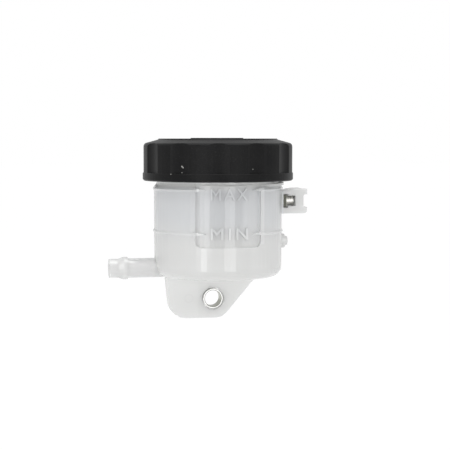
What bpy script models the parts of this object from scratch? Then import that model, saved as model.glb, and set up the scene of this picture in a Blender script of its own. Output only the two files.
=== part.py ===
# Brake fluid reservoir with a screw cap, for a remote master cylinder.
# Frame: origin at the centre of the mounting bolt's bush, on its rear end face.
# +Z is up, the bolt's axis is Y, the level panel faces -Y and the hose spigot points to -X.

import math

import bmesh
import bpy
from mathutils import Matrix, Vector

MM = 0.001

# Clearances
FIT_GAP = 0.3 * MM           # between pieces that seat on or in one another
THREAD_GAP = 0.5 * MM        # between the cap thread's crest and the neck
CREST_GAP = 0.6 * MM         # between the neck thread's crest and the cap's bore
DIAPHRAGM_GAP = 0.5 * MM     # between the diaphragm's cup and the neck's bore
DISC_EDGE_GAP = 0.5 * MM     # between the slip disc and the cap's bore
CUT_OVERSHOOT = 2.0 * MM     # how far a cutter stands out of what it cuts

# Cup
BODY_RADIUS = 24.15 * MM
WALL_DRAFT = 0.15 * MM       # the cup is this much slimmer at its floor
FLOOR_HEIGHT = 10.3 * MM     # underside of the floor above the bolt's axis
CUP_HEIGHT = 35.2 * MM       # underside of the floor to the foot of the neck
FLOOR_THICKNESS = 2.2 * MM
FLOOR_EDGE_RADIUS = 3.7 * MM
CHAMBER_DRAFT = 0.3 * MM
CHAMBER_EDGE_RADIUS = 3.0 * MM
WALL_BITE = 1.5 * MM         # how deep what stands on the wall is sunk in it

# Neck, with the bead below it that marks the upper level
NECK_STEP = 1.05 * MM        # the neck's wall inside the cup's wall
NECK_HEIGHT = 11.2 * MM
NECK_WALL = 1.8 * MM
RIM_CHAMFER = 0.4 * MM
BEAD_HEIGHT = 0.5 * MM       # how far a level rib stands out of the wall
BEAD_DROP = 2.1 * MM         # foot of the neck to the bead's tip
BEAD_TAIL = 0.85 * MM        # bead's tip to the wall below it

# Lower level rib
LOWER_RIB_DROP = 18.1 * MM   # below the foot of the neck
RIB_WIDTH = 1.5 * MM

# Screw thread of the neck and the cap, right-handed
THREAD_LEAD = 3.0 * MM
THREAD_DEPTH = 1.8 * MM
THREAD_CREST_WIDTH = 0.9 * MM
THREAD_FOOT_WIDTH = 1.3 * MM
THREAD_ROOT = 0.4 * MM       # how deep a thread's foot is sunk in its wall
NECK_THREAD_TURNS = 1.6
CAP_THREAD_TURNS = 1.5
NECK_THREAD_START = -60.0    # degrees about the cup's axis, from +X
NECK_THREAD_DROP = 0.75 * MM # lower start of the neck's thread below the foot of the neck
THREAD_FADE = 30.0           # degrees over which a thread's ends run out
THREAD_STEP = 10.0           # degrees

# Level panel in the front of the cup
PANEL_HALF_ANGLE = 30.0      # degrees about the cup's axis
PANEL_INSET = 3.15 * MM      # its face is rounder than the cup by this radius
PANEL_DEPTH = 0.5 * MM       # at its middle
PANEL_HEIGHT = 22.9 * MM     # its lower edge below the foot of the neck
PANEL_CORNER_RADIUS = 1.8 * MM
ARROW_OVERHANG = 2.5         # degrees that a level arrow starts outside the panel
ARROW_LENGTH = 11.5          # degrees
ARROW_HALF_HEIGHT = 0.75 * MM
ARROW_FEATHER = 0.08         # share of its height that an arrow keeps at its point

# Hose spigot
SPIGOT_DROP = 31.9 * MM      # its axis below the foot of the neck
SPIGOT_RADIUS = 3.65 * MM
SPIGOT_LENGTH = 17.25 * MM   # out of the wall
SPIGOT_BORE = 2.2 * MM       # radius
SPIGOT_MOUTH = 0.35 * MM     # chamfer of the bore's mouth
SPIGOT_TIP_STEP = 0.1 * MM   # the tip is this much slimmer than the tube
SPIGOT_TIP_LENGTH = 3.3 * MM
BARB_HEIGHT = 0.57 * MM      # out of the tube
BARB_FLARE = 2.0 * MM
BARB_LAND = 1.6 * MM
SPIGOT_BITE = 4.6 * MM       # its root's depth in the cup

# Mounting lug and its steel bush
LUG_SETBACK = 10.6 * MM      # front face of the lug behind the cup's axis
LUG_THICKNESS = 5.4 * MM
LUG_LEFT = 17.4 * MM         # left edge from the bolt's axis, at its height
LUG_LEFT_SLOPE = 0.8 / 7.8
LUG_BOTTOM = 7.5 * MM        # lower edge below the bolt's axis
LUG_RIGHT = 10.1 * MM        # slanted right edge from the bolt's axis, at its height
LUG_RIGHT_SLOPE = 6.6 / 7.8
LUG_LEFT_RADIUS = 6.6 * MM
LUG_RIGHT_RADIUS = 5.0 * MM
LUG_RISE = 3.3 * MM          # top of the lug above the underside of the floor
LUG_SHOULDER = 2.0 * MM      # its sides turn in this far below the floor
LUG_TOP_HALF = 12.8 * MM
BUSH_RADIUS = 3.95 * MM
BUSH_WALL = 0.75 * MM        # leaves a bore for an M6 bolt
BUSH_PROUD = 0.3 * MM        # each end stands out of the lug
BUSH_CHAMFER = 0.2 * MM

# Cored pocket in the lug's back, with a locating peg left standing in it
POCKET_WALL = 1.65 * MM      # between the bush's hole and the pocket
POCKET_WIDTH = 7.8 * MM
POCKET_BOTTOM = 3.7 * MM     # below the bolt's axis
POCKET_TOP_GAP = 2.1 * MM    # below the floor
POCKET_FACE = 2.8 * MM       # plastic left in front of the pocket
POCKET_RADIUS = 3.4 * MM
PEG_RADIUS = 1.5 * MM
PEG_INSET = 3.5 * MM         # its axis from the pocket's right side

# Threaded insert for the screw of the cap's lock, on the cup's +X side
INSERT_WALL = 0.8 * MM       # between the cup's wall and the insert
INSERT_FLANGE_HALF = 2.3 * MM  # of its square flange
INSERT_FLANGE_LENGTH = 1.2 * MM
INSERT_FLANGE_STEP = 0.6 * MM
INSERT_LENGTH = 4.1 * MM
INSERT_BORE = 1.0 * MM       # radius

# Lug that holds the insert
LOCK_DROP_TOP = 2.3 * MM     # its top below the foot of the neck
LOCK_CROWN_RADIUS = 18.0 * MM
LOCK_CROWN_INSET = 3.3 * MM  # from the lug's end to the highest place of its top
LOCK_WALL = 2.5 * MM         # above and below the insert's flange
LOCK_FRONT_WALL = 1.3 * MM   # in front of and behind the flange
LOCK_END_WALL = 3.4 * MM     # from the insert to the notch in the lug's end
LOCK_NOTCH_DEPTH = 1.45 * MM
LOCK_NOTCH_HALF = 2.4 * MM
LOCK_NOTCH_RADIUS = 0.7 * MM
LOCK_TOP_RADIUS = 0.6 * MM   # of the corners of its end
LOCK_FOOT_RADIUS = 1.2 * MM
LOCK_SCREW_GAP = 0.3 * MM    # the screw's hole is wider than the insert's bore by this radius

# Stepped stub on the same side
STUB_DROP = 22.5 * MM        # its axis below the foot of the neck
STUB_RADIUS = 2.7 * MM
STUB_LENGTH = 1.45 * MM
STUB_TIP_STEP = 0.95 * MM
STUB_TIP_LENGTH = 1.15 * MM

# Cap
CAP_HEIGHT = 15.7 * MM
CAP_WALL = 2.65 * MM
CAP_ROOF = 1.8 * MM
CAP_TOP_STEP = 0.4 * MM
CAP_RIM_WIDTH = 5.5 * MM     # from the raised top to the cap's side
CAP_EDGE_DROP = 1.9 * MM     # fall of the rim's slope from the cap's top to its side
CAP_EDGE_RADIUS = 1.5 * MM
SKIRT_STEP = 0.2 * MM
SKIRT_HEIGHT = 2.8 * MM
SKIRT_CHAMFER = 0.5 * MM
SKIRT_LEAD_IN = 0.7 * MM
FLUTES = 12
FLUTE_WIDTH = 9.7 * MM
FLUTE_DEPTH = 0.9 * MM
FLUTE_TURN = -99.8           # degrees, middle of the first flute
CAP_LIP_OVERLAP = 0.4 * MM   # ring that keeps the slip disc in the cap
CAP_LIP_HEIGHT = 0.8 * MM

# Slip disc, which stays still on the diaphragm while the cap turns
DISC_THICKNESS = 0.8 * MM
DISC_VENT = 3.0 * MM         # radius
DISC_DISH = 0.8 * MM
DISC_DISH_START = 10.0 * MM  # radii of the slope of its dish
DISC_DISH_END = 15.0 * MM

# Diaphragm
RUBBER = 1.1 * MM
FLANGE_THICKNESS = 1.4 * MM
FLANGE_INSET = 0.1 * MM      # its flange is this much smaller than the neck
DIAPHRAGM_DEPTH = 10.0 * MM
DIAPHRAGM_FOLD = 5.0 * MM    # width of a fold
DIAPHRAGM_RISE = 5.6 * MM    # height of the inner fold

# Facets
BODY_SEGMENTS = 72
CAP_SEGMENTS = 96
SOFT_SEGMENTS = 36
SMALL_SEGMENTS = 28
FLUTE_SEGMENTS = 84
LOCK_CROWN_STEPS = 5
ARROW_STEPS = 3
ARC_STEP = 20.0              # degrees between points on a rounded corner
SOFT_ARC_STEP = 40.0         # the same on the diaphragm's folds
SHARP_ANGLE = 32.0           # degrees

# Radii about the cup's axis
NECK_RADIUS = BODY_RADIUS - NECK_STEP
NECK_BORE = NECK_RADIUS - NECK_WALL
THREAD_CREST = NECK_RADIUS + THREAD_DEPTH
CAP_THREAD_CREST = NECK_RADIUS + THREAD_GAP
CAP_BORE = THREAD_CREST + CREST_GAP
CAP_RADIUS = CAP_BORE + CAP_WALL
CAP_TOP_RADIUS = CAP_RADIUS - CAP_RIM_WIDTH
SKIRT_RADIUS = CAP_RADIUS + SKIRT_STEP
DISC_RADIUS = CAP_BORE - DISC_EDGE_GAP
CAP_LIP_RADIUS = DISC_RADIUS - CAP_LIP_OVERLAP
PANEL_RADIUS = BODY_RADIUS - PANEL_INSET
PANEL_HALF_WIDTH = BODY_RADIUS * math.sin(math.radians(PANEL_HALF_ANGLE))

# Reaches from the cup's axis
LUG_ROOT = BODY_RADIUS - WALL_BITE
SPIGOT_ROOT = BODY_RADIUS - SPIGOT_BITE
SPIGOT_REACH = BODY_RADIUS + SPIGOT_LENGTH
STUB_REACH = BODY_RADIUS + STUB_LENGTH
STUB_TIP_REACH = STUB_REACH + STUB_TIP_LENGTH
INSERT_START = BODY_RADIUS + INSERT_WALL
INSERT_END = INSERT_START + INSERT_LENGTH
LOCK_REACH = INSERT_END + LOCK_END_WALL + LOCK_NOTCH_DEPTH

# Radii of small pieces
SPIGOT_TIP_RADIUS = SPIGOT_RADIUS - SPIGOT_TIP_STEP
BARB_RADIUS = SPIGOT_RADIUS + BARB_HEIGHT
STUB_TIP_RADIUS = STUB_RADIUS - STUB_TIP_STEP
BUSH_BORE = BUSH_RADIUS - BUSH_WALL
BUSH_HOLE = BUSH_RADIUS + FIT_GAP
INSERT_BARREL_RADIUS = INSERT_FLANGE_HALF - INSERT_FLANGE_STEP
LOCK_SCREW_HOLE = INSERT_BORE + LOCK_SCREW_GAP
LOCK_HEIGHT = 2 * (INSERT_FLANGE_HALF + LOCK_WALL)
LOCK_THICKNESS = 2 * (INSERT_FLANGE_HALF + LOCK_FRONT_WALL)

# Places
LUG_BACK_Y = -BUSH_PROUD
LUG_FRONT_Y = LUG_BACK_Y - LUG_THICKNESS
BUSH_LENGTH = LUG_THICKNESS + 2 * BUSH_PROUD
AXIS_Y = LUG_FRONT_Y - LUG_SETBACK
NECK_FOOT = FLOOR_HEIGHT + CUP_HEIGHT
NECK_TOP = NECK_FOOT + NECK_HEIGHT
FLANGE_UNDER = NECK_TOP + FIT_GAP
DISC_UNDER = FLANGE_UNDER + FLANGE_THICKNESS + FIT_GAP
ROOF_UNDER = DISC_UNDER + DISC_THICKNESS + FIT_GAP
CAP_TOP = ROOF_UNDER + CAP_ROOF + CAP_TOP_STEP
CAP_BOTTOM = CAP_TOP - CAP_HEIGHT
SPIGOT_Z = NECK_FOOT - SPIGOT_DROP
LOCK_Z = NECK_FOOT - LOCK_DROP_TOP - LOCK_HEIGHT / 2
POCKET_TOP = FLOOR_HEIGHT - POCKET_TOP_GAP
POCKET_RIGHT = -BUSH_HOLE - POCKET_WALL
CUP_AXIS = Vector((0, AXIS_Y, 0))


def clear_scene():
    for item in list(bpy.data.objects):
        bpy.data.objects.remove(item, do_unlink=True)


def make_material(name, colour, roughness, metallic=0.0, alpha=1.0):
    material = bpy.data.materials.new(name)
    material.use_nodes = True
    shader = material.node_tree.nodes["Principled BSDF"]
    shader.inputs["Base Color"].default_value = (*colour, 1.0)
    shader.inputs["Roughness"].default_value = roughness
    shader.inputs["Metallic"].default_value = metallic
    shader.inputs["Alpha"].default_value = alpha
    return material


def rounded(corners, arc_step=ARC_STEP):
    """Points of a line through corners (x, y, radius), each corner turned by an arc."""
    points = []
    for index, (x, y, radius) in enumerate(corners):
        here = Vector((x, y))
        if radius <= 0 or index in (0, len(corners) - 1):
            points.append(here)
            continue
        into = (Vector(corners[index - 1][:2]) - here).normalized()
        out = (Vector(corners[index + 1][:2]) - here).normalized()
        half = into.angle(out) / 2
        centre = here + (into + out).normalized() * (radius / math.sin(half))
        first = here + into * (radius / math.tan(half)) - centre
        turn = math.pi - 2 * half
        if first.cross(-into) < 0:
            turn = -turn
        steps = max(2, round(abs(turn) / math.radians(arc_step)))
        for step in range(steps + 1):
            angle = turn * step / steps
            points.append(centre + Matrix.Rotation(angle, 2) @ first)
    return points


def thickened(line, thickness):
    """Closed outline around a line, half the thickness to each side of it."""
    left = []
    right = []
    for index, point in enumerate(line):
        before = line[max(index - 1, 0)]
        after = line[min(index + 1, len(line) - 1)]
        along = (after - before).normalized()
        side = Vector((-along.y, along.x)) * thickness / 2
        left.append(point + side)
        right.append(point - side)
    return left + right[::-1]


def new_object(name, mesh, location=(0, 0, 0)):
    item = bpy.data.objects.new(name, mesh)
    item.location = location
    bpy.context.scene.collection.objects.link(item)
    return item


def finish_mesh(shape, name):
    bmesh.ops.remove_doubles(shape, verts=shape.verts, dist=1e-7)
    bmesh.ops.recalc_face_normals(shape, faces=shape.faces)
    mesh = bpy.data.meshes.new(name)
    shape.to_mesh(mesh)
    shape.free()
    mesh.shade_smooth()
    mesh.set_sharp_from_angle(angle=math.radians(SHARP_ANGLE))
    return mesh


def lathe(name, outline, segments, closed=False, location=(0, 0, 0)):
    """Solid of revolution about Z from points (radius, height)."""
    shape = bmesh.new()
    verts = [shape.verts.new((point[0], 0, point[1])) for point in outline]
    pairs = list(zip(verts, verts[1:]))
    if closed:
        pairs.append((verts[-1], verts[0]))
    edges = [shape.edges.new(pair) for pair in pairs]
    bmesh.ops.spin(
        shape,
        geom=verts + edges,
        cent=(0, 0, 0),
        axis=(0, 0, 1),
        angle=math.tau,
        steps=segments,
        use_merge=True,
    )
    return new_object(name, finish_mesh(shape, name), location)


def prism(name, outline, depth, turn=Matrix.Identity(4)):
    """Outline in the XZ plane, extruded from y = 0 to y = depth, then turned and placed."""
    shape = bmesh.new()
    face = shape.faces.new([shape.verts.new((x, 0, z)) for x, z in outline])
    extruded = bmesh.ops.extrude_face_region(shape, geom=[face])
    moved = [item for item in extruded["geom"] if isinstance(item, bmesh.types.BMVert)]
    bmesh.ops.translate(shape, verts=moved, vec=(0, depth, 0))
    bmesh.ops.transform(shape, matrix=turn, verts=shape.verts)
    return new_object(name, finish_mesh(shape, name))


def along_x(x, y, z):
    """Turns a shape made about Z so that its axis points to +X, and places it."""
    return Matrix.Translation((x, y, z)) @ Matrix.Rotation(math.pi / 2, 4, "Y")


def along_y(x, y, z):
    """Turns a shape made about Z so that its axis points to -Y, and places it."""
    return Matrix.Translation((x, y, z)) @ Matrix.Rotation(math.pi / 2, 4, "X")


def combine(target, tool, operation):
    """Unites a helper shape with the target, or cuts it out; the helper is only a guide."""
    modifier = target.modifiers.new(tool.name, "BOOLEAN")
    modifier.operation = operation
    modifier.solver = "EXACT"
    modifier.object = tool
    tool.display_type = "WIRE"
    tool.hide_render = True


def helix_bead(name, foot, crest, start, base, turns, location=(0, 0, 0)):
    """Thread of trapezoid section that climbs about Z, its ends running out into the wall."""
    inward = math.copysign(1.0, foot - crest)
    sunk = foot + inward * THREAD_ROOT
    hidden = foot + inward * THREAD_ROOT / 2
    steps = round(turns * 360 / THREAD_STEP)
    shape = bmesh.new()
    rings = []
    for step in range(steps + 1):
        angle = step * THREAD_STEP
        fade = min(1.0, angle / THREAD_FADE, (steps * THREAD_STEP - angle) / THREAD_FADE)
        tip = hidden + (crest - hidden) * math.sin(fade * math.pi / 2)
        height = base + THREAD_LEAD * angle / 360
        section = (
            (sunk, -THREAD_FOOT_WIDTH / 2),
            (tip, -THREAD_CREST_WIDTH / 2),
            (tip, THREAD_CREST_WIDTH / 2),
            (sunk, THREAD_FOOT_WIDTH / 2),
        )
        direction = math.radians(start + angle)
        rings.append([
            shape.verts.new((
                radius * math.cos(direction),
                radius * math.sin(direction),
                height + rise,
            ))
            for radius, rise in section
        ])
    for ring, following in zip(rings, rings[1:]):
        for index in range(4):
            other = (index + 1) % 4
            shape.faces.new((ring[index], ring[other], following[other], following[index]))
    shape.faces.new(rings[0])
    shape.faces.new(rings[-1])
    return new_object(name, finish_mesh(shape, name), location)


def level_arrow(name, height, side):
    """Pointed end of a level line, lying on the panel and aimed at its middle."""
    inner = BODY_RADIUS - PANEL_DEPTH - 2 * BEAD_HEIGHT
    outer = BODY_RADIUS + BEAD_HEIGHT / 2
    shape = bmesh.new()
    rings = []
    for step in range(ARROW_STEPS + 1):
        share = step / ARROW_STEPS
        angle = PANEL_HALF_ANGLE + ARROW_OVERHANG - ARROW_LENGTH * share
        half = ARROW_HALF_HEIGHT * (1 + ARROW_FEATHER - share)
        direction = math.radians(-90 + side * angle)
        rings.append([
            shape.verts.new((
                radius * math.cos(direction),
                radius * math.sin(direction),
                height + rise,
            ))
            for radius, rise in ((inner, -half), (outer, -half), (outer, half), (inner, half))
        ])
    for ring, following in zip(rings, rings[1:]):
        for index in range(4):
            other = (index + 1) % 4
            shape.faces.new((ring[index], ring[other], following[other], following[index]))
    shape.faces.new(rings[0])
    shape.faces.new(rings[-1])
    return new_object(name, finish_mesh(shape, name), CUP_AXIS)


def cup_outline():
    """Outer line of the cup and neck, from the floor's middle to the rim's inner edge."""
    foot_radius = BODY_RADIUS - WALL_DRAFT
    rib = NECK_FOOT - LOWER_RIB_DROP
    tip = NECK_FOOT - BEAD_DROP
    return rounded([
        (0, FLOOR_HEIGHT, 0),
        (foot_radius, FLOOR_HEIGHT, FLOOR_EDGE_RADIUS),
        (BODY_RADIUS, rib - RIB_WIDTH / 2, 0),
        (BODY_RADIUS + BEAD_HEIGHT, rib, RIB_WIDTH / 3),
        (BODY_RADIUS, rib + RIB_WIDTH / 2, 0),
        (BODY_RADIUS, tip - BEAD_TAIL, 0),
        (BODY_RADIUS + BEAD_HEIGHT, tip, BEAD_HEIGHT / 2),
        (NECK_RADIUS, NECK_FOOT, 0),
        (NECK_RADIUS, NECK_TOP - RIM_CHAMFER, 0),
        (NECK_RADIUS - RIM_CHAMFER, NECK_TOP, 0),
        (0, NECK_TOP, 0),
    ])


def chamber_outline():
    """Line of the fluid chamber and the neck's bore, open above the rim."""
    return rounded([
        (0, FLOOR_HEIGHT + FLOOR_THICKNESS, 0),
        (NECK_BORE - CHAMBER_DRAFT, FLOOR_HEIGHT + FLOOR_THICKNESS, CHAMBER_EDGE_RADIUS),
        (NECK_BORE, NECK_TOP, 0),
        (NECK_BORE, NECK_TOP + CUT_OVERSHOOT, 0),
        (0, NECK_TOP + CUT_OVERSHOOT, 0),
    ])


def spigot_outline():
    """Line of the hose spigot about its own axis, from its root to its tip."""
    flare_end = SPIGOT_REACH - SPIGOT_TIP_LENGTH
    barb_start = flare_end - BARB_FLARE
    barb_back = barb_start - BARB_LAND
    mouth = SPIGOT_BORE + SPIGOT_MOUTH
    return [
        (0, SPIGOT_ROOT),
        (SPIGOT_RADIUS, SPIGOT_ROOT),
        (SPIGOT_RADIUS, barb_back),
        (BARB_RADIUS, barb_back),
        (BARB_RADIUS, barb_start),
        (SPIGOT_TIP_RADIUS, flare_end),
        (SPIGOT_TIP_RADIUS, SPIGOT_REACH),
        (mouth, SPIGOT_REACH),
        (0, SPIGOT_REACH - mouth),
    ]


def mounting_lug_outline():
    """Front outline of the mounting lug about the bolt's axis: a straight and a slanted side."""
    def left(height):
        return -LUG_LEFT - LUG_LEFT_SLOPE * height

    def right(height):
        return LUG_RIGHT + LUG_RIGHT_SLOPE * height

    top = FLOOR_HEIGHT + LUG_RISE
    shoulder = FLOOR_HEIGHT - LUG_SHOULDER
    return rounded([
        (-LUG_TOP_HALF, top, 0),
        (left(shoulder), shoulder, 0),
        (left(-LUG_BOTTOM), -LUG_BOTTOM, LUG_LEFT_RADIUS),
        (right(-LUG_BOTTOM), -LUG_BOTTOM, LUG_RIGHT_RADIUS),
        (right(shoulder), shoulder, 0),
        (LUG_TOP_HALF, top, 0),
    ])


def pocket_outline():
    """Outline of the pocket in the lug's back, round at its lower end."""
    left = POCKET_RIGHT - POCKET_WIDTH
    return rounded([
        (left, POCKET_TOP, 0),
        (left, -POCKET_BOTTOM, POCKET_RADIUS),
        (POCKET_RIGHT, -POCKET_BOTTOM, POCKET_RADIUS),
        (POCKET_RIGHT, POCKET_TOP, 0),
    ])


def lock_lug_outline():
    """Front outline of the cap lock's lug: a crowned top, and the notch in its end."""
    half = LOCK_HEIGHT / 2
    notch = LOCK_NOTCH_HALF
    floor = LOCK_REACH - LOCK_NOTCH_DEPTH

    def top(reach):
        fall = (LOCK_REACH - LOCK_CROWN_INSET - reach) ** 2 / (2 * LOCK_CROWN_RADIUS)
        return LOCK_Z + half - fall

    crown = [
        LUG_ROOT + (LOCK_REACH - LUG_ROOT) * step / LOCK_CROWN_STEPS
        for step in range(LOCK_CROWN_STEPS)
    ]
    return rounded([
        *((reach, top(reach), 0) for reach in crown),
        (LOCK_REACH, top(LOCK_REACH), LOCK_TOP_RADIUS),
        (LOCK_REACH, LOCK_Z + notch, 0),
        (floor, LOCK_Z + notch, LOCK_NOTCH_RADIUS),
        (floor, LOCK_Z - notch, LOCK_NOTCH_RADIUS),
        (LOCK_REACH, LOCK_Z - notch, 0),
        (LOCK_REACH, LOCK_Z - half, LOCK_FOOT_RADIUS),
        (LUG_ROOT, LOCK_Z - half, 0),
    ])


def insert_slot_outline():
    """Outline of the T-shaped slot that the insert slides into from the front."""
    start = INSERT_START - FIT_GAP
    step = INSERT_START + INSERT_FLANGE_LENGTH + FIT_GAP
    end = INSERT_END + FIT_GAP
    wide = INSERT_FLANGE_HALF + FIT_GAP
    narrow = INSERT_BARREL_RADIUS + FIT_GAP
    return [
        (start, LOCK_Z - wide),
        (step, LOCK_Z - wide),
        (step, LOCK_Z - narrow),
        (end, LOCK_Z - narrow),
        (end, LOCK_Z + narrow),
        (step, LOCK_Z + narrow),
        (step, LOCK_Z + wide),
        (start, LOCK_Z + wide),
    ]


def stub_outline():
    """Line of the stepped stub about its own axis."""
    return [
        (0, LUG_ROOT),
        (STUB_RADIUS, LUG_ROOT),
        (STUB_RADIUS, STUB_REACH),
        (STUB_TIP_RADIUS, STUB_REACH),
        (STUB_TIP_RADIUS, STUB_TIP_REACH),
        (0, STUB_TIP_REACH),
    ]


def rod(name, radius, start, end, turn=Matrix.Identity(4), segments=SMALL_SEGMENTS):
    """Plain round bar from start to end along its axis, turned and placed."""
    item = lathe(name, [(0, start), (radius, start), (radius, end), (0, end)], segments)
    item.data.transform(turn)
    return item


def build_body():
    """One moulding: cup, threaded neck, spigot, lugs and stub, with its recesses cut."""
    body = lathe("reservoir_body", cup_outline(), BODY_SEGMENTS, location=CUP_AXIS)
    thread = helix_bead(
        "neck_thread", NECK_RADIUS, THREAD_CREST, NECK_THREAD_START,
        neck_thread_base(), NECK_THREAD_TURNS, CUP_AXIS,
    )
    spigot = lathe("spigot_shape", spigot_outline(), SMALL_SEGMENTS)
    spigot.data.transform(spigot_place())
    stub = lathe("side_stub", stub_outline(), SMALL_SEGMENTS)
    stub.data.transform(along_x(0, AXIS_Y, NECK_FOOT - STUB_DROP))
    for shape in (thread, spigot, stub, mounting_lug(), lock_lug()):
        combine(body, shape, "UNION")

    chamber = lathe("chamber", chamber_outline(), BODY_SEGMENTS, location=CUP_AXIS)
    for shape in (chamber, panel_recess()):
        combine(body, shape, "DIFFERENCE")

    for label, height in (("upper", NECK_FOOT - BEAD_DROP), ("lower", NECK_FOOT - LOWER_RIB_DROP)):
        for side in (-1, 1):
            arrow = level_arrow(f"{label}_arrow_{'left' if side < 0 else 'right'}", height, side)
            combine(body, arrow, "UNION")

    bore_start = SPIGOT_ROOT - SPIGOT_RADIUS
    bore_end = SPIGOT_REACH + CUT_OVERSHOOT
    bore = rod("spigot_bore", SPIGOT_BORE, bore_start, bore_end, spigot_place())
    combine(body, bore, "DIFFERENCE")
    return body


def spigot_place():
    """Turns a shape made about Z to the spigot's axis, its top towards -X."""
    return Matrix.Translation((0, AXIS_Y, SPIGOT_Z)) @ Matrix.Rotation(-math.pi / 2, 4, "Y")


def mounting_lug():
    """Lug under the cup, with the bush's hole and the pocket and peg in its back."""
    lug = prism("mounting_lug", mounting_lug_outline(), -LUG_THICKNESS)
    lug.location.y = LUG_BACK_Y
    hole = rod(
        "bush_hole", BUSH_HOLE, -CUT_OVERSHOOT, BUSH_LENGTH + CUT_OVERSHOOT, along_y(0, 0, 0),
    )
    combine(lug, hole, "DIFFERENCE")
    pocket = prism("lug_pocket", pocket_outline(), LUG_FRONT_Y + POCKET_FACE)
    peg_place = along_y(POCKET_RIGHT - PEG_INSET, 0, 0)
    peg = rod("locating_peg", PEG_RADIUS, -CUT_OVERSHOOT, LUG_THICKNESS, peg_place)
    combine(pocket, peg, "DIFFERENCE")
    combine(lug, pocket, "DIFFERENCE")
    lug.modifiers.new("facets", "TRIANGULATE")
    return lug


def lock_lug():
    """Lug beside the cap, with the insert's slot and the screw's hole."""
    lug = prism("lock_lug", lock_lug_outline(), LOCK_THICKNESS)
    lug.location.y = AXIS_Y - LOCK_THICKNESS / 2
    slot_depth = LOCK_THICKNESS / 2 + INSERT_FLANGE_HALF + FIT_GAP
    slot = prism("insert_slot", insert_slot_outline(), slot_depth + FIT_GAP)
    slot.location.y = AXIS_Y - LOCK_THICKNESS / 2 - FIT_GAP
    combine(lug, slot, "DIFFERENCE")
    hole = rod(
        "lock_screw_hole", LOCK_SCREW_HOLE, INSERT_END, LOCK_REACH,
        along_x(0, AXIS_Y, LOCK_Z),
    )
    combine(lug, hole, "DIFFERENCE")
    lug.modifiers.new("facets", "TRIANGULATE")
    return lug


def panel_recess():
    """Cutter for the level panel: an upright window shape that stops at a rounder face."""
    foot = NECK_FOOT - PANEL_HEIGHT
    panel = prism("panel_recess", rounded([
        (-PANEL_HALF_WIDTH, NECK_FOOT, 0),
        (-PANEL_HALF_WIDTH, foot, PANEL_CORNER_RADIUS),
        (PANEL_HALF_WIDTH, foot, PANEL_CORNER_RADIUS),
        (PANEL_HALF_WIDTH, NECK_FOOT, 0),
    ]), PANEL_RADIUS)
    panel.location.y = AXIS_Y - BODY_RADIUS - CUT_OVERSHOOT
    face = rod("panel_face", PANEL_RADIUS, foot - RIB_WIDTH, NECK_TOP, segments=BODY_SEGMENTS)
    face.location.y = AXIS_Y - (BODY_RADIUS - PANEL_DEPTH - PANEL_RADIUS)
    combine(panel, face, "DIFFERENCE")
    return panel


def neck_thread_base():
    """Height of the neck thread's lower start, in the slope at the foot of the neck."""
    return NECK_FOOT - NECK_THREAD_DROP


def cap_outline():
    """Closed section of the cap's shell, relative to the middle of its top."""
    lip = DISC_UNDER - FIT_GAP - CAP_TOP
    lip_depth = CAP_BORE - CAP_LIP_RADIUS
    bore_top = ROOF_UNDER - CAP_TOP
    return rounded([
        (0, 0, 0),
        (CAP_TOP_RADIUS - CAP_TOP_STEP, 0, 0),
        (CAP_TOP_RADIUS, -CAP_TOP_STEP, 0),
        (CAP_RADIUS, -CAP_EDGE_DROP, CAP_EDGE_RADIUS),
        (CAP_RADIUS, -CAP_HEIGHT + SKIRT_HEIGHT + SKIRT_STEP, 0),
        (SKIRT_RADIUS, -CAP_HEIGHT + SKIRT_HEIGHT, 0),
        (SKIRT_RADIUS, -CAP_HEIGHT + SKIRT_CHAMFER, 0),
        (SKIRT_RADIUS - SKIRT_CHAMFER, -CAP_HEIGHT, 0),
        (CAP_BORE + SKIRT_LEAD_IN, -CAP_HEIGHT, 0),
        (CAP_BORE, -CAP_HEIGHT + SKIRT_LEAD_IN, 0),
        (CAP_BORE, lip - CAP_LIP_HEIGHT - lip_depth, 0),
        (CAP_LIP_RADIUS, lip - CAP_LIP_HEIGHT, 0),
        (CAP_LIP_RADIUS, lip, 0),
        (CAP_BORE, lip, 0),
        (CAP_BORE, bore_top, 0),
        (0, bore_top, 0),
    ])


def flute_cutters():
    """Twelve upright bars around the cap, which cut arched flutes out of its round shoulder."""
    bar = (FLUTE_WIDTH ** 2 / 4 + FLUTE_DEPTH ** 2) / (2 * FLUTE_DEPTH)
    distance = CAP_RADIUS + bar - FLUTE_DEPTH
    foot = -CAP_HEIGHT + SKIRT_HEIGHT + SKIRT_STEP
    cutter = rod("flute_bar", bar, foot, CUT_OVERSHOOT, segments=FLUTE_SEGMENTS)
    single = cutter.data
    shape = bmesh.new()
    for index in range(FLUTES):
        copy = single.copy()
        turn = Matrix.Rotation(math.radians(FLUTE_TURN + index * 360 / FLUTES), 4, "Z")
        copy.transform(turn @ Matrix.Translation((distance, 0, 0)))
        shape.from_mesh(copy)
        bpy.data.meshes.remove(copy)
    bpy.data.objects.remove(cutter)
    return new_object("flute_bars", finish_mesh(shape, "flute_bars"), (0, AXIS_Y, CAP_TOP))


def build_cap():
    """Screw cap: fluted shell with a skirt ring, an inner thread and a lip for the disc."""
    place = (0, AXIS_Y, CAP_TOP)
    cap = lathe("cap", cap_outline(), CAP_SEGMENTS, location=place)
    combine(cap, flute_cutters(), "DIFFERENCE")
    lowest = CAP_BOTTOM + SKIRT_LEAD_IN + THREAD_FOOT_WIDTH / 2
    between_turns = neck_thread_base() + THREAD_LEAD / 2
    start = NECK_THREAD_START + THREAD_STEP * math.ceil(
        (lowest - between_turns) / THREAD_LEAD * 360 / THREAD_STEP
    )
    base = between_turns + (start - NECK_THREAD_START) / 360 * THREAD_LEAD
    thread = helix_bead(
        "cap_thread", CAP_BORE, CAP_THREAD_CREST, start, base - CAP_TOP, CAP_THREAD_TURNS, place,
    )
    combine(cap, thread, "UNION")
    return cap


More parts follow.
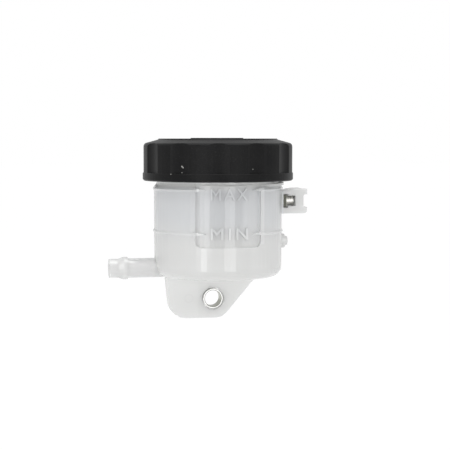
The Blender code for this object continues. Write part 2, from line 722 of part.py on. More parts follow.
def build_slip_disc():
    """Dished plastic washer with a vent hole, between the cap's roof and the diaphragm."""
    middle = DISC_THICKNESS / 2
    line = rounded([
        (DISC_VENT, middle - DISC_DISH, 0),
        (DISC_DISH_START, middle - DISC_DISH, 0),
        (DISC_DISH_END, middle, 0),
        (DISC_RADIUS, middle, 0),
    ])
    return lathe(
        "slip_disc", thickened(line, DISC_THICKNESS), SOFT_SEGMENTS, closed=True,
        location=(0, AXIS_Y, DISC_UNDER),
    )


def build_diaphragm():
    """Rubber cup with one fold, hung in the neck by a flange that seals on the rim."""
    flange_edge = NECK_RADIUS - FLANGE_INSET
    wall = NECK_BORE - DIAPHRAGM_GAP - RUBBER / 2
    inner = wall - DIAPHRAGM_FOLD
    crown = inner - DIAPHRAGM_FOLD
    foot = -DIAPHRAGM_DEPTH
    fold_top = foot + DIAPHRAGM_RISE
    bend = DIAPHRAGM_FOLD / 2 - RUBBER / 4
    line = rounded([
        (wall, FLANGE_THICKNESS - RUBBER / 2, 0),
        (wall, foot, bend),
        (inner, foot, bend),
        (inner, fold_top, bend),
        (crown, fold_top, bend),
        (crown, foot + RUBBER, RUBBER),
        (0, foot + RUBBER, 0),
    ], SOFT_ARC_STEP)
    outer, *section, inside = thickened(line, RUBBER)
    flange = [
        (inside.x, FLANGE_THICKNESS),
        (flange_edge, FLANGE_THICKNESS),
        (flange_edge, 0),
        (outer.x, 0),
    ]
    return lathe(
        "diaphragm", flange + section, SOFT_SEGMENTS, closed=True,
        location=(0, AXIS_Y, FLANGE_UNDER),
    )


def build_mount_bush():
    """Steel sleeve that takes the bolt's clamping force through the lug."""
    chamfer = BUSH_CHAMFER
    outline = [
        (BUSH_BORE, chamfer),
        (BUSH_BORE + chamfer, 0),
        (BUSH_RADIUS - chamfer, 0),
        (BUSH_RADIUS, chamfer),
        (BUSH_RADIUS, BUSH_LENGTH - chamfer),
        (BUSH_RADIUS - chamfer, BUSH_LENGTH),
        (BUSH_BORE + chamfer, BUSH_LENGTH),
        (BUSH_BORE, BUSH_LENGTH - chamfer),
    ]
    bush = lathe("mount_bush", outline, SMALL_SEGMENTS, closed=True)
    bush.data.transform(along_y(0, 0, 0))
    return bush


def build_lock_insert():
    """Insert that takes the screw of the cap's lock; its square flange keeps it from turning."""
    half = INSERT_FLANGE_HALF
    flange_end = INSERT_START + INSERT_FLANGE_LENGTH
    axis = along_x(0, AXIS_Y, LOCK_Z)
    insert = prism("lock_insert", [
        (INSERT_START, LOCK_Z - half),
        (flange_end, LOCK_Z - half),
        (flange_end, LOCK_Z + half),
        (INSERT_START, LOCK_Z + half),
    ], 2 * half)
    insert.location.y = AXIS_Y - half
    barrel_start = flange_end - INSERT_FLANGE_LENGTH / 2
    barrel = rod("insert_barrel", INSERT_BARREL_RADIUS, barrel_start, INSERT_END, axis)
    combine(insert, barrel, "UNION")
    bore_ends = (INSERT_START - CUT_OVERSHOOT, INSERT_END + CUT_OVERSHOOT)
    combine(insert, rod("insert_bore", INSERT_BORE, *bore_ends, axis), "DIFFERENCE")
    insert.modifiers.new("facets", "TRIANGULATE")
    return insert


def main():
    clear_scene()
    finishes = (
        (build_body, make_material("milky_plastic", (0.78, 0.79, 0.78), 0.35, alpha=0.85)),
        (build_cap, make_material("black_plastic", (0.018, 0.018, 0.02), 0.42)),
        (build_slip_disc, make_material("white_plastic", (0.72, 0.72, 0.70), 0.5)),
        (build_diaphragm, make_material("black_rubber", (0.02, 0.02, 0.02), 0.7)),
        (build_mount_bush, make_material("bush_steel", (0.55, 0.55, 0.52), 0.3, metallic=1.0)),
        (build_lock_insert, make_material("insert_steel", (0.5, 0.48, 0.42), 0.3, metallic=1.0)),
    )
    for build, material in finishes:
        item = build()
        item.data.materials.append(material)


main()
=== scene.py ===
import math

import bmesh
import bpy
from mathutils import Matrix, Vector


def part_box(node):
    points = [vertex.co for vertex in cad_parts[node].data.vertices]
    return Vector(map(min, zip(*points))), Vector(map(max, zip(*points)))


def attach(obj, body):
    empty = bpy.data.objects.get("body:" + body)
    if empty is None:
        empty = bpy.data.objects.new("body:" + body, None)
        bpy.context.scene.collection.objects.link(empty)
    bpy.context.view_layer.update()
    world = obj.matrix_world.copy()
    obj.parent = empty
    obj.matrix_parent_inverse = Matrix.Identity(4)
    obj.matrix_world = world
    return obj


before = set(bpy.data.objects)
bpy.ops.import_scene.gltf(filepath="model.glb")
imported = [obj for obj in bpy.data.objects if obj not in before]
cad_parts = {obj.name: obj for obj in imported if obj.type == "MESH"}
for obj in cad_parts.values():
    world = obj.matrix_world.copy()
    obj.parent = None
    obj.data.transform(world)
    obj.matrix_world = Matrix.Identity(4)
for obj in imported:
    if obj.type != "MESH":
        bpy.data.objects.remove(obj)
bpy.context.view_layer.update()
cupAxis = Vector((0, -0.0163, 0))
print("frame loaded")


# Node helpers

def newMaterial(name):
    material = bpy.data.materials.new(name)
    material.use_nodes = True
    tree = material.node_tree
    shader = tree.nodes["Principled BSDF"]
    return material, tree, shader


def setPlain(shader, **values):
    # constant values stay on the shader's own sockets
    for label, value in values.items():
        shader.inputs[label.replace("_", " ")].default_value = value


def noiseNode(tree, place, scale, detail, rough):
    node = tree.nodes.new("ShaderNodeTexNoise")
    node.inputs["Detail"].default_value = detail
    node.inputs["Roughness"].default_value = rough
    tree.links.new(place, node.inputs["Vector"])
    tree.links.new(scale, node.inputs["Scale"])
    return node.outputs["Fac"]


def mathNode(tree, operation, first, second=None):
    node = tree.nodes.new("ShaderNodeMath")
    node.operation = operation
    for index, value in enumerate((first, second)):
        if value is None:
            continue
        if isinstance(value, (int, float)):
            node.inputs[index].default_value = value
        else:
            tree.links.new(value, node.inputs[index])
    return node.outputs[0]


def mapRange(tree, value, low, high, toLow=0.0, toHigh=1.0):
    node = tree.nodes.new("ShaderNodeMapRange")
    node.interpolation_type = "SMOOTHSTEP"
    node.inputs["From Min"].default_value = low
    node.inputs["From Max"].default_value = high
    node.inputs["To Min"].default_value = toLow
    node.inputs["To Max"].default_value = toHigh
    tree.links.new(value, node.inputs["Value"])
    return node.outputs["Result"]


def bandMask(tree, value, low, high, soft):
    # 1 between the two limits, with soft ends
    above = mapRange(tree, value, low - soft, low + soft)
    below = mapRange(tree, value, high - soft, high + soft, 1.0, 0.0)
    return mathNode(tree, "MULTIPLY", above, below)


def distanceNode(tree, first, second):
    # length of the diagonal over two sides
    squares = [mathNode(tree, "POWER", side, 2.0) for side in (first, second)]
    return mathNode(tree, "SQRT", mathNode(tree, "ADD", *squares))


def mixColour(tree, factor, first, second):
    node = tree.nodes.new("ShaderNodeMix")
    node.data_type = "RGBA"
    for socket, value in ((0, factor), (6, first), (7, second)):
        if isinstance(value, (int, float)):
            node.inputs[socket].default_value = value
        elif isinstance(value, tuple):
            node.inputs[socket].default_value = (*value, 1.0)
        else:
            tree.links.new(value, node.inputs[socket])
    return node.outputs[2]


def bumpInto(tree, shader, height, distance, strength):
    bump = tree.nodes.new("ShaderNodeBump")
    bump.inputs["Strength"].default_value = strength
    bump.inputs["Distance"].default_value = distance
    tree.links.new(height, bump.inputs["Height"])
    tree.links.new(bump.outputs["Normal"], shader.inputs["Normal"])


def newGroup(name, inputs, outputs):
    group = bpy.data.node_groups.new(name, "ShaderNodeTree")
    for label, value in inputs:
        socket = group.interface.new_socket(label, in_out="INPUT", socket_type="NodeSocketFloat")
        socket.default_value = value
    for label in outputs:
        group.interface.new_socket(label, in_out="OUTPUT", socket_type="NodeSocketFloat")
    return group, group.nodes.new("NodeGroupInput"), group.nodes.new("NodeGroupOutput")


def useGroup(tree, group, **values):
    node = tree.nodes.new("ShaderNodeGroup")
    node.node_tree = group
    for key, value in values.items():
        node.inputs[key].default_value = value
    return node


# Shared effects

skinValues = {
    "usual": (("grainSize", 9000.0), ("cloudSize", 120.0), ("cloudAmount", 0.1)),
    "grain": (3.0, 0.6),     # detail and roughness of the noise
    "cloud": (4.0, 0.55),
}


def mouldSkinGroup():
    # fine satin grain of a moulded surface as a height, and a slow cloud about 0 for tone and gloss
    group, start, end = newGroup("mouldSkin", skinValues["usual"], ["height", "cloud"])
    place = group.nodes.new("ShaderNodeTexCoord").outputs["Object"]
    grain = noiseNode(group, place, start.outputs["grainSize"], *skinValues["grain"])
    cloud = noiseNode(group, place, start.outputs["cloudSize"], *skinValues["cloud"])
    centred = mathNode(group, "SUBTRACT", cloud, 0.5)
    scaled = mathNode(group, "MULTIPLY", centred, start.outputs["cloudAmount"])
    group.links.new(grain, end.inputs["height"])
    group.links.new(scaled, end.inputs["cloud"])
    return group


def cupPlaceGroup():
    # where a point lies: height above the bolt, side and depth from the cup's axis
    group, start, end = newGroup("cupPlace", [], ["height", "side", "depth"])
    split = group.nodes.new("ShaderNodeSeparateXYZ")
    place = group.nodes.new("ShaderNodeTexCoord").outputs["Object"]
    group.links.new(place, split.inputs[0])
    depth = mathNode(group, "SUBTRACT", split.outputs["Y"], cupAxis.y)
    group.links.new(split.outputs["Z"], end.inputs["height"])
    group.links.new(split.outputs["X"], end.inputs["side"])
    group.links.new(depth, end.inputs["depth"])
    return group


mouldSkin = mouldSkinGroup()
cupPlace = cupPlaceGroup()
print("shared effects built")

# Milky plastic of the cup

milky = {
    "colour": (0.890, 0.895, 0.883),
    "paintedShadeColour": (0.805, 0.822, 0.842),   # painted shade, cooler and darker round the hollow chamber
    "shadeSide": (0.0244, 0.0248),          # it ends beside the right lug
    "shadeFoot": (0.0215, 0.0345),          # heights where it starts and ends
    "shadeTop": (0.0425, 0.0455),
    "underCap": (0.0370, 0.0440),           # heights where the wall darkens towards the cap
    "underCapShade": 0.085,
    "roughness": 0.38,
    "transmission": 0.12,
    "scatter": 0.85,
    "scatterRadius": 0.004,
    "bend": 1.5,
    "wordRadius": 0.0006,   # the words' edges scatter less and stay crisp
    # painted light: the words' base colour is 5% lighter than the wall's
    "wordPaintedLight": 1.05,
    "coat": 1.0,
    "coatRoughness": 0.06,
    "coatBend": 1.75,
    "grainHeight": 0.00002,
    "grainStrength": 0.15,
    "cloud": 0.08,
    "seamWidth": 0.00012,   # the mould's parting line, left and right of the cup
    "seamShade": 0.06,
    # zones of painted shade on the wall, standing in for light through thinner and thicker walls
    # and for shade between parts, where a negative amount paints light: how much darker, how soft,
    # limits in side, height, depth
    "paintedShadeZones": (
        # level panel: painted shade, the darker inside seen through its thinner wall
        (0.135, 0.0012, (-0.0095, 0.0050), (0.0227, 0.0427), (-0.0300, -0.0100)),
        # panel's two upright edges: painted light against the shade of their steps
        (-0.170, 0.0003, (-0.0122, -0.0109), (0.0235, 0.0440), (-0.0300, -0.0100)),
        (-0.185, 0.0003, (0.0114, 0.0135), (0.0235, 0.0440), (-0.0300, -0.0100)),
        # wall under the panel: painted shade
        (0.045, 0.0015, (-0.0095, 0.0080), (0.0120, 0.0225), (-0.0300, -0.0100)),
        # neck, and its right half: painted light against the shadow under the cap
        (-0.158, 0.0008, (-0.0300, 0.0240), (0.0450, 0.0600), (-0.0300, 0.0300)),
        (-0.040, 0.0008, (0.0070, 0.0240), (0.0450, 0.0600), (-0.0300, 0.0300)),
        # lock lug, and its lower part: painted shade
        (0.080, 0.00025, (0.0247, 0.0400), (0.0330, 0.0500), (-0.0100, 0.0100)),
        (0.110, 0.0012, (0.0247, 0.0400), (0.0330, 0.0435), (-0.0100, 0.0100)),
        # mounting lug's thick half: painted shade, less light passing through
        (0.025, 0.00025, (-0.0058, 0.0300), (-0.0100, 0.0072), (0.0080, 0.0200)),
        # rounded edge of the cup's floor: painted shade
        (0.060, 0.0012, (-0.0300, 0.0300), (0.0080, 0.0140), (-0.0300, 0.0080)),
        # spigot's root: painted light against the shade where it meets the cup; its barb and tip:
        # painted shade
        (-0.115, 0.0006, (-0.0342, -0.0247), (0.0050, 0.0220), (-0.0100, 0.0100)),
        (0.010, 0.0006, (-0.0500, -0.0342), (0.0050, 0.0220), (-0.0100, 0.0100)),
    ),
    "pegPlace": (-0.0095, 0.0002),   # side and height of the peg behind the pocket
    "pegRing": (0.0013, 0.0018),
    "pegSoft": 0.0002,
    "pegFront": (0.0130, 0.0135),    # it fades behind this depth
    "pegShade": 0.03,
}


def pegRing(tree, place):
    # painted shade: faint ring of the peg that shows through the mounting lug
    side, height = milky["pegPlace"]
    across = mathNode(tree, "SUBTRACT", place.outputs["side"], side)
    up = mathNode(tree, "SUBTRACT", place.outputs["height"], height)
    ring = bandMask(tree, distanceNode(tree, across, up), *milky["pegRing"], milky["pegSoft"])
    front = mapRange(tree, place.outputs["depth"], *milky["pegFront"], 1.0, 0.0)
    return mathNode(tree, "MULTIPLY", ring, front)


def wallZone(tree, place, soft, sides, heights, depths):
    # 1 inside a box, with soft limits
    zone = bandMask(tree, place.outputs["side"], *sides, soft)
    for label, limits in (("height", heights), ("depth", depths)):
        band = bandMask(tree, place.outputs[label], *limits, soft)
        zone = mathNode(tree, "MULTIPLY", zone, band)
    return zone


def mouldSeam(tree, place):
    width = milky["seamWidth"]
    return bandMask(tree, place.outputs["depth"], -width, width, width / 2)


def shadedColour(tree, place, tone):
    # base colour with painted shade round the chamber and under the cap, and every zone's painted
    # shade taken off, a negative amount adding painted light
    # painted shade round the chamber, on the cup between the shadeFoot and shadeTop heights
    onCup = mapRange(tree, place.outputs["side"], *milky["shadeSide"], 1.0, 0.0)
    rising = mapRange(tree, place.outputs["height"], *milky["shadeFoot"])
    falling = mapRange(tree, place.outputs["height"], *milky["shadeTop"], 1.0, 0.0)
    shade = mathNode(tree, "MULTIPLY", mathNode(tree, "MULTIPLY", rising, falling), onCup)
    colour = mixColour(tree, shade, milky["colour"], milky["paintedShadeColour"])
    under = mapRange(tree, place.outputs["height"], *milky["underCap"])
    shades = [
        (mouldSeam(tree, place), milky["seamShade"]),
        (mathNode(tree, "MULTIPLY", under, onCup), milky["underCapShade"]),
        (pegRing(tree, place), milky["pegShade"]),
    ]
    for amount, *limits in milky["paintedShadeZones"]:
        shades.append((wallZone(tree, place, *limits), amount))
    for mask, amount in shades:
        tone = mathNode(tree, "SUBTRACT", tone, mathNode(tree, "MULTIPLY", mask, amount))
    toned = tree.nodes.new("ShaderNodeVectorMath")
    toned.operation = "SCALE"
    tree.links.new(colour, toned.inputs[0])
    tree.links.new(tone, toned.inputs["Scale"])
    return toned.outputs[0]


def milkyPlastic(name, scatterRadius, tone=1.0):
    material, tree, shader = newMaterial(name)
    skin = useGroup(tree, mouldSkin, cloudAmount=milky["cloud"])
    colour = shadedColour(tree, useGroup(tree, cupPlace), tone)
    tree.links.new(colour, shader.inputs["Base Color"])
    rough = mathNode(tree, "ADD", skin.outputs["cloud"], milky["roughness"])
    tree.links.new(rough, shader.inputs["Roughness"])
    bumpInto(
        tree, shader, skin.outputs["height"], milky["grainHeight"], milky["grainStrength"],
    )
    setPlain(
        shader,
        IOR=milky["bend"],
        Transmission_Weight=milky["transmission"],
        Subsurface_Weight=milky["scatter"],
        Subsurface_Radius=(1.0, 1.0, 1.0),
        Subsurface_Scale=scatterRadius,
        Coat_Weight=milky["coat"],
        Coat_Roughness=milky["coatRoughness"],
        Coat_IOR=milky["coatBend"],
    )
    return material


# Black plastic of the cap

black = {
    "colour": (0.0070, 0.0070, 0.0077),
    "dust": (0.0130, 0.0130, 0.0130),
    "speck": (0.0240, 0.0240, 0.0240),
    "speckRange": (0.55, 0.70),     # of the grain's height, so its tips are paler
    "grainSize": 3500.0,
    "roughness": 0.36,
    "specular": 0.13,
    "grainHeight": 0.00004,
    "grainStrength": 0.3,
    "cloud": 0.12,
    "cloudRange": (-0.05, 0.06),
    "nickCore": 0.6,                # share of a nick that is fully pale
    "scuff": (0.42, 0.42, 0.40),
    # pale nicks on the flutes: place and size
    "nicks": (
        ((-0.01703, -0.03760, 0.05199), 0.00036),
        ((-0.01669, -0.03792, 0.05160), 0.00034),
        ((-0.01704, -0.03760, 0.04977), 0.00024),
        ((-0.02071, -0.03550, 0.04919), 0.00024),
        ((0.00793, -0.04253, 0.05102), 0.00020),
    ),
}


def blackPlastic():
    material, tree, shader = newMaterial("blackPlastic")
    skin = useGroup(
        tree, mouldSkin, cloudAmount=black["cloud"], grainSize=black["grainSize"],
    )
    lighter = mapRange(tree, skin.outputs["cloud"], *black["cloudRange"])
    colour = mixColour(tree, lighter, black["colour"], black["dust"])
    tips = mapRange(tree, skin.outputs["height"], *black["speckRange"])
    colour = mixColour(tree, tips, colour, black["speck"])
    place = tree.nodes.new("ShaderNodeTexCoord").outputs["Object"]
    for spot, size in black["nicks"]:
        away = tree.nodes.new("ShaderNodeVectorMath")
        away.operation = "DISTANCE"
        away.inputs[1].default_value = spot
        tree.links.new(place, away.inputs[0])
        core = size * black["nickCore"]
        nick = mapRange(tree, away.outputs["Value"], core, size, 1.0, 0.0)
        colour = mixColour(tree, nick, colour, black["scuff"])
    tree.links.new(colour, shader.inputs["Base Color"])
    rough = mathNode(tree, "ADD", skin.outputs["cloud"], black["roughness"])
    tree.links.new(rough, shader.inputs["Roughness"])
    bumpInto(
        tree, shader, skin.outputs["height"], black["grainHeight"], black["grainStrength"],
    )
    setPlain(shader, Specular_IOR_Level=black["specular"])
    return material


# Metal of the bush and the insert

metal = {
    "bush": (0.96, 0.96, 0.94),
    # painted shade on the bore's wall
    "bushBorePaintedShade": (0.36, 0.37, 0.30),
    "insert": (0.97, 0.96, 0.91),
    # painted shade on the flange, dark olive
    "insertFlangePaintedShade": (0.092, 0.094, 0.078),
    "bushRoughness": 0.15,
    "insertRoughness": 0.27,
    "boreRadius": 0.0034,
    "flangeLength": 0.0012,
    "maskSoft": 0.0001,
    "cloud": 0.2,
    "cloudSize": 900.0,
    "cloudRange": (-0.06, 0.06),
    "cloudTone": 0.85,
}


def turnedMetal(name, part, paintedShadePart, mask):
    material, tree, shader = newMaterial(name)
    skin = useGroup(
        tree, mouldSkin, cloudAmount=metal["cloud"], cloudSize=metal["cloudSize"],
    )
    lighter = mapRange(tree, skin.outputs["cloud"], *metal["cloudRange"])
    dimmer = tuple(channel * metal["cloudTone"] for channel in metal[part])
    tone = mixColour(tree, lighter, dimmer, metal[part])
    # painted shade where the mask is 1
    tone = mixColour(tree, mask(tree), tone, metal[paintedShadePart])
    tree.links.new(tone, shader.inputs["Base Color"])
    rough = mathNode(tree, "ADD", skin.outputs["cloud"], metal[part + "Roughness"])
    tree.links.new(rough, shader.inputs["Roughness"])
    setPlain(shader, Metallic=1.0)
    return material


def boreMask(tree):
    # 1 on the wall of the bush's bore, which gets painted shade
    split = tree.nodes.new("ShaderNodeSeparateXYZ")
    tree.links.new(tree.nodes.new("ShaderNodeTexCoord").outputs["Object"], split.inputs[0])
    radius = distanceNode(tree, split.outputs["X"], split.outputs["Z"])
    edge = metal["boreRadius"]
    return mapRange(tree, radius, edge - metal["maskSoft"], edge, 1.0, 0.0)


def flangeMask(tree):
    # 1 on the insert's flange, which gets painted shade
    place = useGroup(tree, cupPlace)
    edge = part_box("lock_insert")[0][0] + metal["flangeLength"]
    return mapRange(tree, place.outputs["side"], edge - metal["maskSoft"], edge, 1.0, 0.0)


# Rubber of the diaphragm and white plastic of the slip disc

plain = {
    "disc": (0.72, 0.72, 0.69),
    "discRoughness": 0.45,
    "rubber": (0.022, 0.022, 0.022),
    "rubberRoughness": 0.6,
    "grainHeight": 0.00003,
    "grainStrength": 0.2,
    "cloudRange": (-0.05, 0.05),
    "cloudTone": 0.88,
}


def plainMould(name, colour, roughness):
    material, tree, shader = newMaterial(name)
    skin = useGroup(tree, mouldSkin)
    lighter = mapRange(tree, skin.outputs["cloud"], *plain["cloudRange"])
    dimmer = tuple(channel * plain["cloudTone"] for channel in colour)
    tone = mixColour(tree, lighter, dimmer, colour)
    tree.links.new(tone, shader.inputs["Base Color"])
    rough = mathNode(tree, "ADD", skin.outputs["cloud"], roughness)
    tree.links.new(rough, shader.inputs["Roughness"])
    bumpInto(
        tree, shader, skin.outputs["height"], plain["grainHeight"], plain["grainStrength"],
    )
    return material


finishes = {
    "reservoir_body": milkyPlastic("milkyPlastic", milky["scatterRadius"]),
    "cap": blackPlastic(),
    "slip_disc": plainMould("whitePlastic", plain["disc"], plain["discRoughness"]),
    "diaphragm": plainMould("blackRubber", plain["rubber"], plain["rubberRoughness"]),
    "mount_bush": turnedMetal("bushSteel", "bush", "bushBorePaintedShade", boreMask),
    "lock_insert": turnedMetal("insertMetal", "insert", "insertFlangePaintedShade", flangeMask),
}
for nodeName, finish in finishes.items():
    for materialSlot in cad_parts[nodeName].material_slots:
        materialSlot.material = finish
print("finishes given to the solids")

# Softened edges of the mouldings

softEdge = {
    "widths": {
        "reservoir_body": 0.00015,
        "cap": 0.00010,
        "mount_bush": 0.00008,
        "lock_insert": 0.00010,
    },
    "segments": 2,
    "sharpAngle": 32,       # degrees between two faces
    "weldReach": 0.000002,
}


def softenEdges(node, width):
    weld = node.modifiers.new("joinCorners", "WELD")
    weld.merge_threshold = softEdge["weldReach"]
    bevel = node.modifiers.new("softEdges", "BEVEL")
    bevel.width = width
    bevel.segments = softEdge["segments"]
    bevel.limit_method = "ANGLE"
    bevel.angle_limit = math.radians(softEdge["sharpAngle"])
    bevel.use_clamp_overlap = True
    bevel.miter_outer = "MITER_ARC"
    bevel.harden_normals = True


for nodeName, width in softEdge["widths"].items():
    softenEdges(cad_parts[nodeName], width)
print("edges softened")

# Raised words, bent or laid on the face that carries them

lettering = {
    "curveSteps": 3,
    "edgeSteps": 1,
    "weldReach": 0.000001,
}


def flatWord(name, word, size, spacing, span, rise, edge):
    # a solid word round the origin, its middle plane at z = 0
    curve = bpy.data.curves.new(name, "FONT")
    curve.body = word
    curve.size = size
    curve.align_x = "CENTER"
    curve.align_y = "CENTER"
    curve.space_character = spacing
    curve.extrude = rise / 2 - edge
    curve.bevel_depth = edge
    curve.bevel_resolution = lettering["edgeSteps"]
    curve.resolution_u = lettering["curveSteps"]
    source = bpy.data.objects.new(name, curve)
    bpy.context.scene.collection.objects.link(source)
    bpy.context.view_layer.update()
    mesh = bpy.data.meshes.new_from_object(source)
    bpy.data.objects.remove(source)
    shape = bmesh.new()
    shape.from_mesh(mesh)
    bpy.data.meshes.remove(mesh)
    bmesh.ops.remove_doubles(shape, verts=shape.verts, dist=lettering["weldReach"])
    sides = [vert.co.x for vert in shape.verts]
    heights = [vert.co.y for vert in shape.verts]
    middle = Vector(((min(sides) + max(sides)) / 2, (min(heights) + max(heights)) / 2, 0))
    stretch = span / (max(sides) - min(sides))
    for vert in shape.verts:
        vert.co -= middle
        vert.co.x *= stretch
    return shape


def addPiece(name, shape, material, body):
    mesh = bpy.data.meshes.new(name)
    bmesh.ops.recalc_face_normals(shape, faces=shape.faces)
    shape.to_mesh(mesh)
    shape.free()
    mesh.materials.append(material)
    piece = bpy.data.objects.new(name, mesh)
    bpy.context.scene.collection.objects.link(piece)
    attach(piece, body)


marks = {
    "words": (("levelMarkMax", "MAX", 0.04184), ("levelMarkMin", "MIN", 0.02759)),
    "size": 0.0060,
    "spacing": 1.3,
    "span": 0.0140,
    "faceRadius": 0.0210,  # the panel's face
    "faceCentre": -0.01895,
    "proud": 0.00034,
    "sunk": 0.0002,
    "edge": 0.00011,
}
# plastic of the raised words, lifted by painted light
wordPlastic = milkyPlastic("milkyWord", milky["wordRadius"], milky["wordPaintedLight"])


def levelMark(name, word, height):
    rise = marks["proud"] + marks["sunk"]
    shape = flatWord(
        name, word, marks["size"], marks["spacing"], marks["span"], rise, marks["edge"],
    )
    middle = marks["faceRadius"] + (marks["proud"] - marks["sunk"]) / 2
    for vert in shape.verts:
        angle = vert.co.x / marks["faceRadius"]
        radius = middle + vert.co.z
        up = vert.co.y
        vert.co = (
            radius * math.sin(angle),
            marks["faceCentre"] - radius * math.cos(angle),
            height + up,
        )
    addPiece(name, shape, wordPlastic, "reservoir")


for markName, word, height in marks["words"]:
    levelMark(markName, word, height)
print("level marks made")

# Word and arrow on the cap's top, for the way it unscrews

capSign = {
    "size": 0.0066,
    "spacing": 1.15,
    "span": 0.0180,
    "proud": 0.00024,
    "sunk": 0.0001,
    "edge": 0.00010,
    "wordDepth": -0.0015,    # from the cup's axis
    "arrowRadius": 0.0110,
    "arrowWidth": 0.0013,
    "arrowFrom": 35,         # degrees, counterclockwise from +X seen from above
    "arrowTo": 130,
    "headWidth": 0.0042,
    "headTurn": 18,
    "headStart": 0.4,        # degrees over which the band widens
    "tipWidth": 0.00012,
    "steps": 24,
}
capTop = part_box("cap")[1][2]


def capWord():
    rise = capSign["proud"] + capSign["sunk"]
    shape = flatWord(
        "capWord", "OPEN", capSign["size"], capSign["spacing"], capSign["span"],
        rise, capSign["edge"],
    )
    middle = capTop + (capSign["proud"] - capSign["sunk"]) / 2
    for vert in shape.verts:
        vert.co += Vector((0, cupAxis.y + capSign["wordDepth"], middle))
    addPiece("capWord", shape, finishes["cap"], "cap")


def capArrow():
    # a band bent round the axis that widens into a head
    first, last, steps = capSign["arrowFrom"], capSign["arrowTo"], capSign["steps"]
    stations = [
        (first + (last - first) * step / steps, capSign["arrowWidth"] / 2)
        for step in range(steps + 1)
    ]
    stations.append((last + capSign["headStart"], capSign["headWidth"] / 2))
    stations.append((last + capSign["headTurn"] / 2, capSign["headWidth"] / 4))
    stations.append((last + capSign["headTurn"], capSign["tipWidth"] / 2))
    low, high = capTop - capSign["sunk"], capTop + capSign["proud"]
    shape = bmesh.new()
    rings = []
    for degrees, half in stations:
        turn = math.radians(degrees)
        ring = []
        for radius, z in ((-half, low), (half, low), (half, high), (-half, high)):
            reach = capSign["arrowRadius"] + radius
            ring.append(shape.verts.new((
                reach * math.cos(turn), cupAxis.y + reach * math.sin(turn), z,
            )))
        rings.append(ring)
    for ring, following in zip(rings, rings[1:]):
        for index in range(4):
            after = (index + 1) % 4
            shape.faces.new((ring[index], ring[after], following[after], following[index]))
    shape.faces.new(rings[0])
    shape.faces.new(rings[-1])
    addPiece("capArrow", shape, finishes["cap"], "cap")


capWord()
capArrow()
print("cap's word and arrow made")

# Camera

camera = {
    "lens": 100.0,
    "distance": 0.4725,
    "yaw": 10.5,       # degrees to the left of straight ahead
    "pan": 0.327,
    "pitch": 3.957,
    "sensor": 36.0,
    "nearEnd": 0.01,
}


def placeCamera():
    yaw, pan, pitch = (math.radians(camera[key]) for key in ("yaw", "pan", "pitch"))
    forward = Vector((math.sin(yaw), math.cos(yaw), 0))
    right = Vector((math.cos(yaw), -math.sin(yaw), 0))
    panned = forward * math.cos(pan) + right * math.sin(pan)
    look = panned * math.cos(pitch) - Vector((0, 0, 1)) * math.sin(pitch)
    data = bpy.data.cameras.new("camera")
    data.lens = camera["lens"]
    data.sensor_width = camera["sensor"]
    data.clip_start = camera["nearEnd"]
    item = bpy.data.objects.new("camera", data)
    item.location = Vector((0, cupAxis.y, capTop)) - forward * camera["distance"]
    item.rotation_mode = "QUATERNION"
    item.rotation_quaternion = look.to_track_quat("-Z", "Y")
    bpy.context.scene.collection.objects.link(item)
    bpy.context.scene.camera = item
    return forward, right


viewForward, viewRight = placeCamera()

# Studio

studio = {
    # each strip's angle from the camera, width and power
    "strips": ((-24.2, 0.215, 0.62), (25.2, 0.203, 0.42)),
    "aim": 0.03,         # height of the middle that the lamps stand round
    "stripDistance": 0.62,
    "stripHeight": 0.62,
    "stripMiddle": 0.11,
    "topPower": 1.6,
    "topSize": 0.5,
    "topHeight": 0.55,
    "topForward": -0.05,
    "fill": 0.63,
    "glossLevel": 0.5,   # what the shiny surfaces see of the white room
    "floorHeight": -0.075,
    "floorReach": 6.0,
    "floorColour": (0.9, 0.9, 0.9, 1),
    "floorRoughness": 0.8,
    "floorGlow": 0.9,
    "floorStrength": 1.05,
}


def addArea(name, place, target, width, height, power):
    data = bpy.data.lights.new(name, "AREA")
    data.shape = "RECTANGLE"
    data.size = width
    data.size_y = height
    data.energy = power
    item = bpy.data.objects.new(name, data)
    item.location = place
    item.rotation_mode = "QUATERNION"
    item.rotation_quaternion = (target - place).to_track_quat("-Z", "Y")
    bpy.context.scene.collection.objects.link(item)


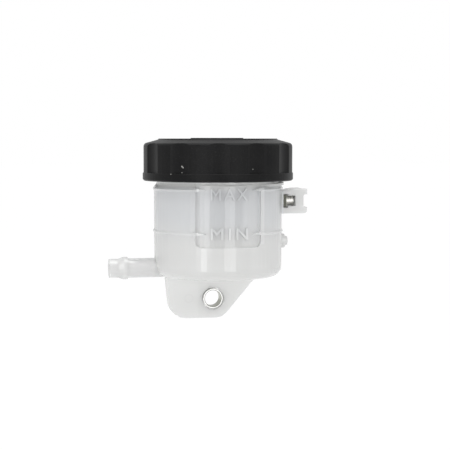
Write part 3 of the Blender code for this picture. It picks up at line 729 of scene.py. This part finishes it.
def lightStudio():
    middle = Vector((0, cupAxis.y, studio["aim"]))
    for index, (angle, width, power) in enumerate(studio["strips"]):
        turn = math.radians(angle)
        out = -viewForward * math.cos(turn) + viewRight * math.sin(turn)
        place = middle + out * studio["stripDistance"]
        place.z = studio["stripMiddle"]
        target = Vector((middle.x, middle.y, studio["stripMiddle"]))
        addArea(f"strip{index}", place, target, width, studio["stripHeight"], power)
    top = middle + Vector((0, studio["topForward"], studio["topHeight"]))
    addArea("overhead", top, middle, studio["topSize"], studio["topSize"], studio["topPower"])


def seenPath(tree):
    # 1 for rays that meet the plain white surroundings, less for reflections
    path = tree.nodes.new("ShaderNodeLightPath")
    gloss = mathNode(tree, "MULTIPLY", path.outputs["Is Glossy Ray"], studio["glossLevel"])
    seen = mathNode(tree, "MAXIMUM", path.outputs["Is Camera Ray"], gloss)
    return mathNode(tree, "MAXIMUM", seen, path.outputs["Is Transmission Ray"])


def whiteWorld():
    world = bpy.data.worlds.new("studio")
    bpy.context.scene.world = world
    world.use_nodes = True
    tree = world.node_tree
    back = tree.nodes["Background"]
    strength = mathNode(tree, "MAXIMUM", seenPath(tree), studio["fill"])
    back.inputs["Color"].default_value = (1, 1, 1, 1)
    tree.links.new(strength, back.inputs["Strength"])


def paleFloor():
    shape = bmesh.new()
    bmesh.ops.create_grid(shape, x_segments=2, y_segments=2, size=studio["floorReach"])
    mesh = bpy.data.meshes.new("floor")
    shape.to_mesh(mesh)
    shape.free()
    floor = bpy.data.objects.new("floor", mesh)
    floor.location.z = studio["floorHeight"]
    bpy.context.scene.collection.objects.link(floor)
    material, tree, shader = newMaterial("paleFloor")
    setPlain(shader, Base_Color=studio["floorColour"], Roughness=studio["floorRoughness"])
    glow = tree.nodes.new("ShaderNodeEmission")
    glow.inputs["Strength"].default_value = studio["floorStrength"]
    mix = tree.nodes.new("ShaderNodeMixShader")
    share = mathNode(tree, "MULTIPLY", seenPath(tree), studio["floorGlow"])
    tree.links.new(share, mix.inputs[0])
    tree.links.new(shader.outputs[0], mix.inputs[1])
    tree.links.new(glow.outputs[0], mix.inputs[2])
    tree.links.new(mix.outputs[0], tree.nodes["Material Output"].inputs["Surface"])
    mesh.materials.append(material)


lightStudio()
whiteWorld()
paleFloor()
bpy.context.scene.view_settings.view_transform = "Standard"
print("camera and studio set")
